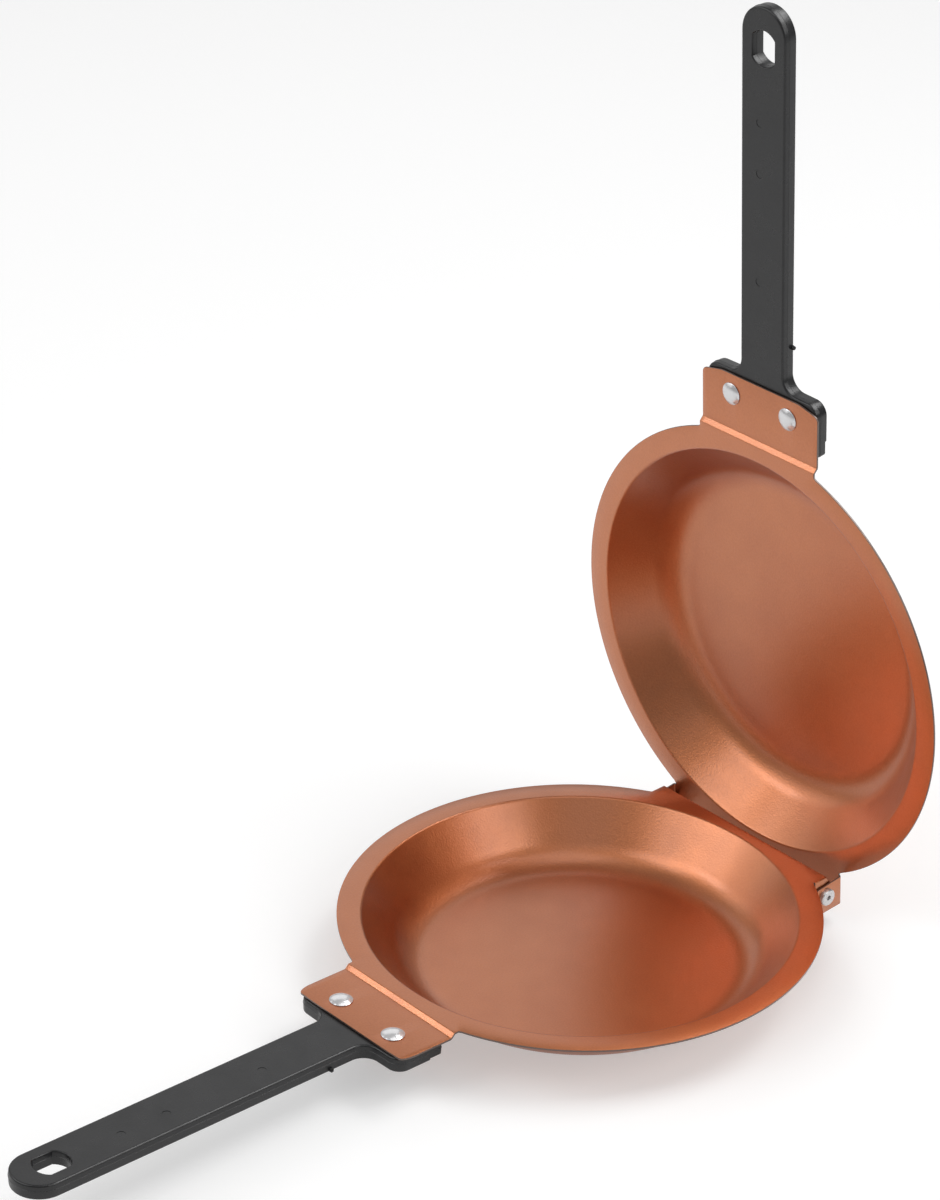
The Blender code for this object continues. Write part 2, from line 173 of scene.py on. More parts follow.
def shape_tree(name, sizes):
    """A new geometry tree with a named input for each size, its material and its geometry out."""
    tree = bpy.data.node_groups.new(name, "GeometryNodeTree")
    tree.interface.new_socket("Geometry", in_out="INPUT", socket_type="NodeSocketGeometry")
    for size in sizes:
        kind = "NodeSocketInt" if size in ("Columns", "Steps") else "NodeSocketFloat"
        tree.interface.new_socket(size, in_out="INPUT", socket_type=kind)
    tree.interface.new_socket("Material", in_out="INPUT", socket_type="NodeSocketMaterial")
    tree.interface.new_socket("Geometry", in_out="OUTPUT", socket_type="NodeSocketGeometry")
    return tree


def shaped(name, tree, **values):
    """A plain mesh from a geometry tree, with its named inputs set to the values."""
    carrier = link(name, bpy.data.meshes.new(name))
    modifier = carrier.modifiers.new(name, "NODES")
    modifier.node_group = tree
    for item in tree.interface.items_tree:
        key = item.name.lower().replace(" ", "_")
        if item.item_type == "SOCKET" and item.in_out == "INPUT" and key in values:
            modifier[item.identifier] = values[key]
    return baked(carrier, name)


def polyline(tree, steps, points, bends):
    """A curve through points of two sockets or numbers; bends gives a corner its fillet."""
    n = add_nodes(
        tree,
        ("line", "GeometryNodeMeshLine", {}),
        ("place", "GeometryNodeSetPosition", {}),
        ("curve", "GeometryNodeMeshToCurve", {}),
        ("fillet", "GeometryNodeFilletCurve", {"mode": "POLY"}),
        ("index", "GeometryNodeInputIndex", {}),
        ("corner", "GeometryNodeIndexSwitch", {"data_type": "VECTOR"}),
        ("bend", "GeometryNodeIndexSwitch", {"data_type": "FLOAT"}))
    n["line"].inputs["Count"].default_value = len(points)

    def feed(value, socket):
        if isinstance(value, (int, float)):
            socket.default_value = value
        else:
            tree.links.new(value, socket)

    for switch in (n["corner"], n["bend"]):
        while len(switch.index_switch_items) < len(points):
            switch.index_switch_items.new()
        tree.links.new(n["index"].outputs[0], switch.inputs["Index"])
    for i, (across, up) in enumerate(points):
        pair = tree.nodes.new("ShaderNodeCombineXYZ")
        feed(across, pair.inputs["X"])
        feed(up, pair.inputs["Y"])
        tree.links.new(pair.outputs[0], n["corner"].inputs[i + 1])
        feed(bends.get(i, 0.0), n["bend"].inputs[i + 1])
    feed(steps, n["fillet"].inputs["Count"])
    wire(tree, (n["line"], "Mesh", n["place"], "Geometry"),
         (n["corner"], 0, n["place"], "Position"), (n["bend"], 0, n["fillet"], "Radius"),
         (n["place"], "Geometry", n["curve"], "Mesh"), (n["curve"], "Curve", n["fillet"], "Curve"))
    return n["fillet"].outputs["Curve"]


def spin(tree, profiles, columns):
    """Sweep profiles, drawn as radius and depth, round the Z axis, and merge poles and seams."""
    n = add_nodes(
        tree,
        ("circle", "GeometryNodeCurvePrimitiveCircle", {"mode": "RADIUS"}),
        ("upright", "GeometryNodeSetCurveNormal", {"mode": "Z_UP"}),
        ("profiles", "GeometryNodeJoinGeometry", {}),
        ("sweep", "GeometryNodeCurveToMesh", {}),
        ("merge", "GeometryNodeMergeByDistance", {}))
    circle_radius = 0.001 * MM
    seam_width = 0.01 * MM
    n["circle"].inputs["Radius"].default_value = circle_radius
    n["merge"].inputs["Distance"].default_value = seam_width
    tree.links.new(columns, n["circle"].inputs["Resolution"])
    for profile in profiles:
        tree.links.new(profile, n["profiles"].inputs[0])
    wire(tree, (n["circle"], "Curve", n["upright"], "Curve"),
         (n["upright"], "Curve", n["sweep"], "Curve"),
         (n["profiles"], 0, n["sweep"], "Profile Curve"),
         (n["sweep"], "Mesh", n["merge"], "Geometry"))
    return n["merge"].outputs["Geometry"]


def finish_tree(tree, source, geometry):
    """End a tree in real geometry with the tree's material."""
    n = add_nodes(
        tree,
        ("out", "NodeGroupOutput", {}),
        ("realize", "GeometryNodeRealizeInstances", {}),
        ("finish", "GeometryNodeSetMaterial", {}))
    tree.links.new(geometry, n["realize"].inputs["Geometry"])
    wire(tree, (n["realize"], "Geometry", n["finish"], "Geometry"),
         (source, "Material", n["finish"], "Material"),
         (n["finish"], "Geometry", n["out"], "Geometry"))
    return tree


def dish_tree():
    """The round dish: flat floor, sloped wall and flat rim, with a bend between each two."""
    tree = shape_tree("pressed_dish", ["Rim Radius", "Mouth Radius", "Floor Radius", "Depth",
                                       "Mouth Bend", "Floor Bend", "Floor Flat", "Rim Flat",
                                       "Columns", "Steps"])
    source = add_nodes(tree, ("in", "NodeGroupInput", {}))["in"]
    size = source.outputs
    profile = polyline(
        tree, size["Steps"],
        [(0.0, size["Depth"]), (size["Floor Flat"], size["Depth"]),
         (size["Floor Radius"], size["Depth"]), (size["Mouth Radius"], 0.0),
         (size["Rim Flat"], 0.0), (size["Rim Radius"], 0.0)],
        {2: size["Floor Bend"], 3: size["Mouth Bend"]})
    return finish_tree(tree, source, spin(tree, [profile], size["Columns"]))


def rim_edges(bm, half_width, towards_hinge):
    """The rim's edges within a half width of the middle, on the hinge's side or the handle's."""
    margin = 0.3 * MM
    found = []
    for edge in bm.edges:
        ends = [v.co for v in edge.verts]
        on_rim = all(math.hypot(co.x, co.y) > RIM_RADIUS - margin for co in ends)
        within = all(abs(co.x) < half_width + margin for co in ends)
        on_side = all((co.y > 0) == towards_hinge for co in ends)
        if edge.is_boundary and on_rim and within and on_side:
            found.append(edge)
    return found


def widen(edges, half_width):
    """Spread a row of edges sideways so that its ends lie just at the half width."""
    verts = {v for edge in edges for v in edge.verts}
    spread = half_width / max(abs(v.co.x) for v in verts)
    for vert in verts:
        vert.co.x *= spread
    return verts


def extend(bm, edges):
    """Extrude a row of edges in place and return the new edges and vertices."""
    made = bmesh.ops.extrude_edge_only(bm, edges=edges)["geom"]
    new_edges = [g for g in made if isinstance(g, bmesh.types.BMEdge)]
    new_verts = [g for g in made if isinstance(g, bmesh.types.BMVert)]
    return [e for e in new_edges if all(v in new_verts for v in e.verts)], new_verts


def round_corners(bm, corners, radius):
    """Round a sheet off at its corner vertices."""
    bmesh.ops.bevel(bm, geom=corners, offset=radius, offset_type="OFFSET", segments=8,
                    profile=0.5, affect="VERTICES")


def add_tab(bm, side, plane, lift, length, end_cut, corner):
    """Run the rim out over the step into the handle tab, tilted by lift towards the other pan."""
    path = rounded([
        (TAB_ROOT, 0.0, 0.0, 0),
        (STEP_START, 0.0, STEP_BEND, 5),
        (STEP_FOOT - STEP_STEEPER, STEP_DEPTH + STEP_STEEPER * math.tan(lift), STEP_BEND, 5),
        (STEP_FOOT + length * math.cos(lift), STEP_DEPTH - length * math.sin(lift), 0.0, 0)])
    edges = rim_edges(bm, TAB_HALF_WIDTH, towards_hinge=False)
    for vert in widen(edges, TAB_HALF_WIDTH):
        vert.co.y = max(vert.co.y, -TAB_ROOT)
    for distance, depth in path[1:]:
        edges, verts = extend(bm, edges)
        for vert in verts:
            vert.co.y = -distance
            vert.co.z = plane + side * depth
    for vert in verts:
        outward = max(0.0, abs(vert.co.x) - TAB_END_FLAT) / (TAB_HALF_WIDTH - TAB_END_FLAT)
        vert.co.y += end_cut * outward ** TAB_END_SWEEP
    round_corners(bm, [v for v in verts if abs(abs(v.co.x) - TAB_HALF_WIDTH) < 0.01 * MM], corner)


def add_hinge_leaf(bm, fold_x, back_edge):
    """Run the rim back to the leaf's straight edge and return the leaf's two side edges."""
    rim = rim_edges(bm, fold_x, towards_hinge=True)
    rim_verts = widen(rim, fold_x)
    edges, verts = extend(bm, rim)
    for vert in verts:
        vert.co.y = PIVOT.y + back_edge
    for vert in rim_verts:
        vert.co.y = min(vert.co.y, PIVOT.y + back_edge - LEAF_STRIP)
    leaf = rim_verts | set(verts)
    return [e for e in bm.edges if e not in edges and e not in rim and e.is_boundary
            and all(v in leaf for v in e.verts)]


def add_ear(bm, edge, ear_x, bend, rows):
    """Fold a leaf's side edge down past the hinge axis; rows give each level's front and back."""
    side = math.copysign(1, edge.verts[0].co.x)
    top = edge.verts[0].co.z
    edges = [edge]
    for fold in range(1, EAR_FOLDS + 1):
        angle = fold / EAR_FOLDS * math.pi / 2
        edges, verts = extend(bm, edges)
        for vert in verts:
            vert.co.x = side * (ear_x - bend + bend * math.sin(angle))
            vert.co.z = top - bend + bend * math.cos(angle)
            if fold == 1 and vert.co.y < PIVOT.y + EAR_MIDDLE:
                vert.co.y += EAR_FRONT_START
    for front, back, height in rows:
        edges, verts = extend(bm, edges)
        verts.sort(key=lambda v: v.co.y)
        for vert, distance in zip(verts, (front, back)):
            vert.co.y = PIVOT.y + distance
            vert.co.z = height
    round_corners(bm, verts, EAR_CORNER)


def stop_edge(height):
    """How far back a lower ear reaches at a height, to meet the open upper pan's rim face."""
    return (UPPER_PLANE - height * math.cos(SHUT_ANGLE)) / math.sin(SHUT_ANGLE) - EAR_STOP_GAP


def cut_away(piece, name, bm, centre):
    """Cut a shape, moved to a centre, out of a piece, and return the cutter."""
    bmesh.ops.translate(bm, verts=bm.verts, vec=centre)
    mesh = bpy.data.meshes.new(name)
    bm.to_mesh(mesh)
    bm.free()
    cutter = link(name, mesh)
    cut = piece.modifiers.new(name, "BOOLEAN")
    cut.operation = "DIFFERENCE"
    cut.object = cutter
    return cutter


def bore(piece, name, radius, length, centre, along_x=False):
    """Cut a round hole through a piece, along Z or along X."""
    bm = bmesh.new()
    bmesh.ops.create_cone(bm, cap_ends=True, segments=BORE_SIDES, radius1=radius, radius2=radius,
                          depth=length)
    if along_x:
        bmesh.ops.rotate(bm, verts=bm.verts, matrix=Matrix.Rotation(math.pi / 2, 3, "Y"))
    return cut_away(piece, name, bm, centre)


def mark_cut_edges_and_edge_shade(mesh):
    """Keep the second material, which the sheet's cut edge has and which is also painted shade on the
    rounding along it, as an attribute, and leave one material.
    """
    cut = mesh.attributes.new("cut_edge", "FLOAT", "CORNER")
    for face in mesh.polygons:
        for corner in face.loop_indices:
            cut.data[corner].value = float(face.material_index == 1)
        face.material_index = 0
    mesh.materials.clear()


def press_pan(name, side, lift, dish):
    """One pressing, shaped in place; side is -1 for the lower pan and 1 for the upper."""
    if side < 0:
        plane, ear_x, bend, back_edge = LOWER_PLANE, LOWER_EAR_X, OUTER_BEND, LOWER_BACK_EDGE
        length, end_cut, corner = LOWER_TAB_LENGTH, LOWER_TAB_END_CUT, LOWER_TAB_CORNER
        rows = [(EAR_FRONT, stop_edge(0.0), 0.0),
                (EAR_FRONT, stop_edge(LOWER_EAR_END), LOWER_EAR_END)]
    else:
        plane, ear_x, bend, back_edge = UPPER_PLANE, UPPER_EAR_X, INNER_BEND, UPPER_BACK_EDGE
        length, end_cut, corner = UPPER_TAB_LENGTH, UPPER_TAB_END_CUT, UPPER_TAB_CORNER
        rows = [(EAR_FRONT, UPPER_BACK_EDGE, UPPER_EAR_END)]
    bm = bmesh.new()
    bm.from_mesh(dish)
    for vert in bm.verts:
        vert.co.z = plane - side * vert.co.z
    add_tab(bm, side, plane, lift, length, end_cut, corner)
    for edge in add_hinge_leaf(bm, ear_x - bend, back_edge):
        add_ear(bm, edge, ear_x, bend, rows)
    bmesh.ops.recalc_face_normals(bm, faces=bm.faces)
    floor = min(bm.faces, key=lambda f: f.calc_center_median().xy.length_squared)
    if floor.normal.z * side > 0:
        bmesh.ops.reverse_faces(bm, faces=bm.faces)
    mesh = bpy.data.meshes.new(name)
    bm.to_mesh(mesh)
    bm.free()
    mesh.materials.append(None)
    mesh.materials.append(bpy.data.materials.new("cut_edge_marker"))
    pan = link(name, mesh)
    wall = pan.modifiers.new("sheet", "SOLIDIFY")
    wall.thickness = SHEET
    wall.offset = -1.0
    wall.use_even_offset = True
    wall.material_offset_rim = 1
    # The cut edge's rim takes the second material as bare steel; this bevel gives it to the rounding
    # along each edge too, where it is painted shade.
    edge = pan.modifiers.new("cut_edge", "BEVEL")
    edge.width = CUT_BEVEL
    edge.material = 1
    edge.segments = 2
    edge.angle_limit = math.radians(60)
    cutters = [bore(pan, "pivot_bore", PIVOT_HOLE_RADIUS, PIVOT_BORE_LENGTH, (0, PIVOT.y, 0),
                    along_x=True)]
    for x in (-RIVET_X, RIVET_X):
        centre = (x, -STEP_FOOT + RIVET_Y, plane + side * STEP_DEPTH)
        cutters.append(bore(pan, "rivet_bore", RIVET_HOLE_RADIUS, TAB_BORE_LENGTH, centre))
    mesh = baked(pan, name)
    for cutter in cutters:
        bpy.data.objects.remove(cutter, do_unlink=True)
    mark_cut_edges_and_edge_shade(mesh)
    place = Matrix.Translation(PIVOT) @ (Matrix() if side < 0 else OPEN_TURN)
    mesh.transform(place @ Matrix.Translation((0, -PIVOT.y, 0)))
    smooth(mesh)
    return link(name, mesh)


dish = shaped("dish", dish_tree(), rim_radius=RIM_RADIUS, mouth_radius=MOUTH_RADIUS,
              floor_radius=FLOOR_RADIUS, depth=PAN_DEPTH, mouth_bend=MOUTH_BEND,
              floor_bend=FLOOR_BEND, floor_flat=FLOOR_FLAT, rim_flat=RIM_FLAT,
              columns=COLUMNS, steps=BEND_STEPS)
lower_pan = press_pan("lower_pan_pressing", -1, LOWER_TAB_LIFT, dish)
upper_pan = press_pan("upper_pan_pressing", 1, UPPER_TAB_LIFT, dish)


def shader_group(name, inputs, outputs):
    """A new shader group whose inputs are (name, kind, value) and outputs (name, kind)."""
    kinds = {"value": "NodeSocketFloat", "vector": "NodeSocketVector"}
    tree = bpy.data.node_groups.new(name, "ShaderNodeTree")
    for label, kind, value in inputs:
        socket = tree.interface.new_socket(label, in_out="INPUT", socket_type=kinds[kind])
        if value is not None:
            socket.default_value = value
    for label, kind in outputs:
        tree.interface.new_socket(label, in_out="OUTPUT", socket_type=kinds[kind])
    return tree


def surface_grain_tree():
    """Grain for any surface: fine specks, a broad cloudiness, and the two as one height."""
    tree = shader_group(
        "surface_grain",
        [("Vector", "vector", None), ("Speck Scale", "value", 1800.0),
         ("Cloud Scale", "value", 60.0), ("Cloud Height", "value", 1.0)],
        [("Speck", "value"), ("Cloud", "value"), ("Height", "value")])
    n = add_nodes(
        tree,
        ("in", "NodeGroupInput", {}),
        ("speck", "ShaderNodeTexNoise", {}),
        ("cloud", "ShaderNodeTexNoise", {}),
        ("height", "ShaderNodeMath", {"operation": "MULTIPLY_ADD"}),
        ("out", "NodeGroupOutput", {}))
    n["speck"].inputs["Detail"].default_value = 2.0
    n["cloud"].inputs["Detail"].default_value = 3.0
    wire(tree, (n["in"], "Vector", n["speck"], "Vector"),
         (n["in"], "Vector", n["cloud"], "Vector"),
         (n["in"], "Speck Scale", n["speck"], "Scale"), (n["in"], "Cloud Scale", n["cloud"], "Scale"),
         (n["cloud"], 0, n["height"], 0), (n["in"], "Cloud Height", n["height"], 1),
         (n["speck"], 0, n["height"], 2), (n["speck"], 0, n["out"], "Speck"),
         (n["cloud"], 0, n["out"], "Cloud"), (n["height"], 0, n["out"], "Height"))
    return tree


def finish_material(name):
    """A new material with its shader and its Object coordinates."""
    material = bpy.data.materials.new(name)
    material.use_nodes = True
    tree = material.node_tree
    shader = tree.nodes["Principled BSDF"]
    place = add_nodes(tree, ("place", "ShaderNodeTexCoord", {}))["place"]
    return material, tree, shader, place


def grained(tree, shader, place, tones, sheen, height, **settings):
    """Grain a material: tones are its (dark, light) colours and sheen its (low, high) roughness."""
    n = add_nodes(
        tree,
        ("grain", "ShaderNodeGroup", {"node_tree": surface_grain}),
        ("tone", "ShaderNodeMix", {"data_type": "RGBA"}),
        ("sheen", "ShaderNodeMapRange", {}),
        ("bump", "ShaderNodeBump", {}))
    for label, value in settings.items():
        n["grain"].inputs[label.replace("_", " ").title()].default_value = value
    n["tone"].inputs["A"].default_value = (*tones[0], 1)
    n["tone"].inputs["B"].default_value = (*tones[1], 1)
    n["sheen"].inputs["From Min"].default_value = 0.3
    n["sheen"].inputs["From Max"].default_value = 0.7
    n["sheen"].inputs["To Min"].default_value = sheen[0]
    n["sheen"].inputs["To Max"].default_value = sheen[1]
    n["bump"].inputs["Distance"].default_value = height
    wire(tree, (place, "Object", n["grain"], "Vector"), (n["grain"], "Speck", n["tone"], "Factor"),
         (n["tone"], "Result", shader, "Base Color"), (n["grain"], "Cloud", n["sheen"], "Value"),
         (n["sheen"], 0, shader, "Roughness"), (n["grain"], "Height", n["bump"], "Height"),
         (n["bump"], 0, shader, "Normal"))
    return n


def cut_edge_and_edge_shade_colour(tree, shader, toned):
    """Show the sheet's cut edge as bare dull steel, and the rounding along it in the same dark steel as
    painted shade, where the pressing marks it.
    """
    n = add_nodes(
        tree,
        ("cut", "ShaderNodeAttribute", {"attribute_name": "cut_edge"}),
        ("bare_steel_and_edge_shade", "ShaderNodeMix", {"data_type": "RGBA"}),
        ("metal", "ShaderNodeMapRange", {}))
    n["bare_steel_and_edge_shade"].inputs["B"].default_value = (*BARE_STEEL_AND_EDGE_SHADE, 1)
    n["metal"].inputs["To Min"].default_value = 1.0
    n["metal"].inputs["To Max"].default_value = BARE_STEEL_AND_EDGE_SHADE_METALLIC
    wire(tree, (n["cut"], "Fac", n["bare_steel_and_edge_shade"], "Factor"), (toned, "Result", n["bare_steel_and_edge_shade"], "A"),
         (n["bare_steel_and_edge_shade"], "Result", shader, "Base Color"), (n["cut"], "Fac", n["metal"], "Value"),
         (n["metal"], 0, shader, "Metallic"))


COPPER_DARK = (0.54, 0.168, 0.056)
COPPER_LIGHT = (0.64, 0.214, 0.077)
COPPER_SHEEN = (0.35, 0.43)
COPPER_GRAIN = 0.1 * MM
CLEAR_COAT_ROUGHNESS = 0.26
CLEAR_COAT_IOR = 1.6
# Bare steel on the cut edge, and painted shade on the rounding along each edge.
BARE_STEEL_AND_EDGE_SHADE = (0.13, 0.075, 0.055)
BARE_STEEL_AND_EDGE_SHADE_METALLIC = 0.5
surface_grain = surface_grain_tree()
copper, tree, shader, place = finish_material("sprayed_copper_coating")
shader.inputs["Coat Weight"].default_value = 1.0
shader.inputs["Coat Roughness"].default_value = CLEAR_COAT_ROUGHNESS
shader.inputs["Coat IOR"].default_value = CLEAR_COAT_IOR
toned = grained(tree, shader, place, (COPPER_DARK, COPPER_LIGHT), COPPER_SHEEN, COPPER_GRAIN,
                speck_scale=1250.0, cloud_scale=70.0, cloud_height=0.6)["tone"]
cut_edge_and_edge_shade_colour(tree, shader, toned)
for pan, half in ((lower_pan, "lower"), (upper_pan, "upper")):
    pan.data.materials.append(copper)
    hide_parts(half + "_pan")
    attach(pan, half + "_half")


# The two handles. Each is one flat black phenolic moulding with a T-shaped head that sits against
# the back of the tab, and a slot to hang it by. It shows its mould: a fine parting line round its
# edge, a broken-off gate on one side and the round marks of the pins that pushed it out.
HANDLE_GAP = 0.3 * MM
HANDLE_THICKNESS = 6.4 * MM
HANDLE_HALF_WIDTH = 12.0 * MM
HANDLE_END = -186.0 * MM
HANDLE_END_RADIUS = 0.999 * HANDLE_HALF_WIDTH
HANDLE_EDGE = 0.9 * MM
EDGE_SUPPORT = 0.25 * MM
HEAD_HALF_WIDTH = 30.9 * MM
HEAD_NEAR = -2.2 * MM
HEAD_FAR = -25.6 * MM
HEAD_SHOULDER_SLOPE = 0.4 * MM
HEAD_FAR_CORNER = 6.0 * MM
HEAD_NEAR_CORNER = 1.5 * MM
HEAD_FILLET = 6.5 * MM
RELIEF_LENGTH = 6.5 * MM
RELIEF_DEPTH = 1.2 * MM
COUNTERBORE_RADIUS = 5.4 * MM
COUNTERBORE_DEPTH = 2.6 * MM
SHANK_BORE_LENGTH = 30.0 * MM
SLOT_Y = -168.7 * MM
SLOT_RADIUS = 7.2 * MM
SLOT_HALF_WIDTH = 5.7 * MM
SLOT_EDGE = 0.5 * MM
SLOT_STEPS = 20
PARTING_DEPTH = 2.5 * MM
PARTING_RIDGE = 0.09 * MM
PARTING_FOOT = 0.12 * MM
PARTING_CREST = 0.04 * MM
DRAFT = 0.12 * MM
PIN_MARKS = [(-1.6 * MM, -69.7 * MM), (-1.6 * MM, -116.2 * MM), (-1.6 * MM, -137.7 * MM)]
PIN_MARK_RADIUS = 1.8 * MM
PIN_MARK_DEPTH = 0.14 * MM
GATE_Y = -43.8 * MM
GATE_DEPTH = 0.84 * HANDLE_THICKNESS
GATE_RINGS = [(-0.6 * MM, 1.0 * MM), (0.6 * MM, 0.92 * MM), (1.1 * MM, 0.72 * MM),
              (1.35 * MM, 0.35 * MM)]
GATE_SIDES = 14
GATE_RAGGEDNESS = 0.09


def tab_frame(side, plane, lift):
    """The tab's own axes, from the foot of its step: -Y along the handle, Z away from the food."""
    place = Matrix.Translation(PIVOT) @ (Matrix() if side < 0 else OPEN_TURN)
    foot = Matrix.Translation((0, -PIVOT.y - STEP_FOOT, plane + side * STEP_DEPTH))
    flip = Matrix.Rotation(math.pi, 4, "Y") if side < 0 else Matrix()
    return place @ foot @ flip @ Matrix.Rotation(lift, 4, "X")


def inset(loop, amount):
    """A closed loop of points moved into the material, which lies on the loop's left."""
    moved = []
    count = len(loop)
    for i, point in enumerate(loop):
        before = (Vector(point) - Vector(loop[i - 1])).normalized()
        after = (Vector(loop[(i + 1) % count]) - Vector(point)).normalized()
        left = Vector((-before.y - after.y, before.x + after.x)) / (1 + before.dot(after))
        moved.append((point[0] + amount * left.x, point[1] + amount * left.y))
    return moved


def anticlockwise(loop):
    """A closed loop of points, turned round if it ran clockwise."""
    area = sum(a[0] * b[1] - b[0] * a[1] for a, b in zip(loop, loop[1:] + loop[:1]))
    return loop if area > 0 else loop[::-1]


def edge_profile(edge, wall_steps=6):
    """How far in the moulding's side lies at each depth, from its near face to its far face."""
    base = PARTING_RIDGE + DRAFT
    rows = [(base + edge + EDGE_SUPPORT, 0.0)]
    for step in range(wall_steps + 1):
        angle = step / wall_steps * math.pi / 2
        rows.append((base + edge - edge * math.sin(angle), edge - edge * math.cos(angle)))
    rows += [(PARTING_RIDGE, PARTING_DEPTH - PARTING_FOOT), (0.0, PARTING_DEPTH - PARTING_CREST),
             (0.0, PARTING_DEPTH + PARTING_CREST), (PARTING_RIDGE, PARTING_DEPTH + PARTING_FOOT)]
    for inward, depth in reversed(rows[:wall_steps + 2]):
        rows.append((inward, HANDLE_THICKNESS - depth))
    return rows


def moulding(bm, loops):
    """Raise a flat moulding on loops of (points, edge radius), the first the outside."""
    ends = ([], [])
    for loop, edge in loops:
        rings = []
        for inward, depth in edge_profile(edge):
            level = SHEET + HANDLE_GAP + depth
            rings.append([bm.verts.new((x, y, level)) for x, y in inset(loop, inward)])
        count = len(loop)
        for low, high in zip(rings, rings[1:]):
            for i in range(count):
                bm.faces.new((low[i - 1], low[i], high[i], high[i - 1]))
        ends[0].append(rings[0])
        ends[1].append(rings[-1])
    for rings in ends:
        verts = [v for ring in rings for v in ring]
        for corners in tessellate_polygon([[v.co for v in ring] for ring in rings]):
            bm.faces.new([verts[i] for i in corners])


def handle_loops():
    """The moulding's outline and its slot, each with the radius of its edge."""
    right = [
        (HEAD_HALF_WIDTH, HEAD_NEAR, HEAD_NEAR_CORNER, 6),
        (HEAD_HALF_WIDTH, HEAD_FAR, HEAD_FAR_CORNER, 14),
        (HANDLE_HALF_WIDTH, HEAD_FAR - HEAD_SHOULDER_SLOPE, HEAD_FILLET, 14),
        (HANDLE_HALF_WIDTH, HANDLE_END, HANDLE_END_RADIUS, 28)]
    left = [(-x, y, radius, steps) for x, y, radius, steps in reversed(right)]
    outside = anticlockwise(rounded(right + left, closed=True))
    slot = []
    flat = math.acos(SLOT_HALF_WIDTH / SLOT_RADIUS)
    for turn in (0, math.pi):
        for step in range(SLOT_STEPS + 1):
            angle = turn + flat + step / SLOT_STEPS * (math.pi - 2 * flat)
            slot.append((SLOT_RADIUS * math.cos(angle), SLOT_Y + SLOT_RADIUS * math.sin(angle)))
    return [(outside, HANDLE_EDGE), (anticlockwise(slot)[::-1], SLOT_EDGE)]


def gate(bm, side):
    """The stub that is left on one side where the moulding was broken from its runner."""
    level = SHEET + HANDLE_GAP + GATE_DEPTH
    rings = []
    for reach, radius in GATE_RINGS:
        ring = []
        for i in range(GATE_SIDES):
            angle = i / GATE_SIDES * 2 * math.pi
            ragged = 1 + GATE_RAGGEDNESS * math.sin(5 * angle + 9 * reach / MM)
            ring.append(bm.verts.new((side * (HANDLE_HALF_WIDTH + reach * ragged),
                                      GATE_Y + radius * ragged * math.cos(angle),
                                      level + radius * ragged * math.sin(angle))))
        rings.append(ring)
    for low, high in zip(rings, rings[1:]):
        for i in range(GATE_SIDES):
            bm.faces.new((low[i - 1], low[i], high[i], high[i - 1]))
    bm.faces.new(rings[0])
    bm.faces.new(rings[-1][::-1])


def mould_handle(name, place, gate_side):
    """One handle in its tab's axes, with its bores cut, then set in place."""
    bm = bmesh.new()
    moulding(bm, handle_loops())
    bmesh.ops.recalc_face_normals(bm, faces=bm.faces)
    mesh = bpy.data.meshes.new(name)
    bm.to_mesh(mesh)
    bm.free()
    handle = link(name, mesh)
    near = SHEET + HANDLE_GAP
    far = near + HANDLE_THICKNESS
    cutters = []
    for x in (-RIVET_X, RIVET_X):
        cutters.append(bore(handle, "shank_bore", RIVET_HOLE_RADIUS, SHANK_BORE_LENGTH,
                            (x, RIVET_Y, 0)))
        cutters.append(bore(handle, "counterbore", COUNTERBORE_RADIUS, 2 * COUNTERBORE_DEPTH,
                            (x, RIVET_Y, far)))
    for x, y in PIN_MARKS:
        cutters.append(bore(handle, "pin_mark", PIN_MARK_RADIUS, 2 * PIN_MARK_DEPTH, (x, y, near)))
    relief = bmesh.new()
    bmesh.ops.create_cube(relief, size=1.0)
    bmesh.ops.scale(relief, verts=relief.verts,
                    vec=(3 * HEAD_HALF_WIDTH, 2 * RELIEF_LENGTH, 2 * RELIEF_DEPTH))
    cutters.append(cut_away(handle, "relief", relief, (0, HEAD_NEAR, far)))
    mesh = baked(handle, name)
    for cutter in cutters:
        bpy.data.objects.remove(cutter, do_unlink=True)
    bm = bmesh.new()
    bm.from_mesh(mesh)
    gate(bm, gate_side)
    bmesh.ops.recalc_face_normals(bm, faces=bm.faces)
    bm.to_mesh(mesh)
    bm.free()
    mesh.transform(place)
    smooth(mesh, sharp_from=35)
    return link(name, mesh)


LOWER_TAB = tab_frame(-1, LOWER_PLANE, LOWER_TAB_LIFT)
UPPER_TAB = tab_frame(1, UPPER_PLANE, UPPER_TAB_LIFT)
lower_handle = mould_handle("lower_handle_moulding", LOWER_TAB, -1)
upper_handle = mould_handle("upper_handle_moulding", UPPER_TAB, 1)

PHENOLIC_DARK = (0.005, 0.005, 0.006)
PHENOLIC_LIGHT = (0.016, 0.016, 0.017)
PHENOLIC_SHEEN = (0.24, 0.36)
PHENOLIC_GRAIN = 0.03 * MM
PHENOLIC_IOR = 1.55
phenolic, tree, shader, place = finish_material("moulded_black_phenolic")
shader.inputs["IOR"].default_value = PHENOLIC_IOR
grained(tree, shader, place, (PHENOLIC_DARK, PHENOLIC_LIGHT), PHENOLIC_SHEEN, PHENOLIC_GRAIN,
        speck_scale=1500.0, cloud_scale=90.0)
for handle, half in ((lower_handle, "lower"), (upper_handle, "upper")):
    handle.data.materials.append(phenolic)
    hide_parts(half + "_handle")
    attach(handle, half + "_half")


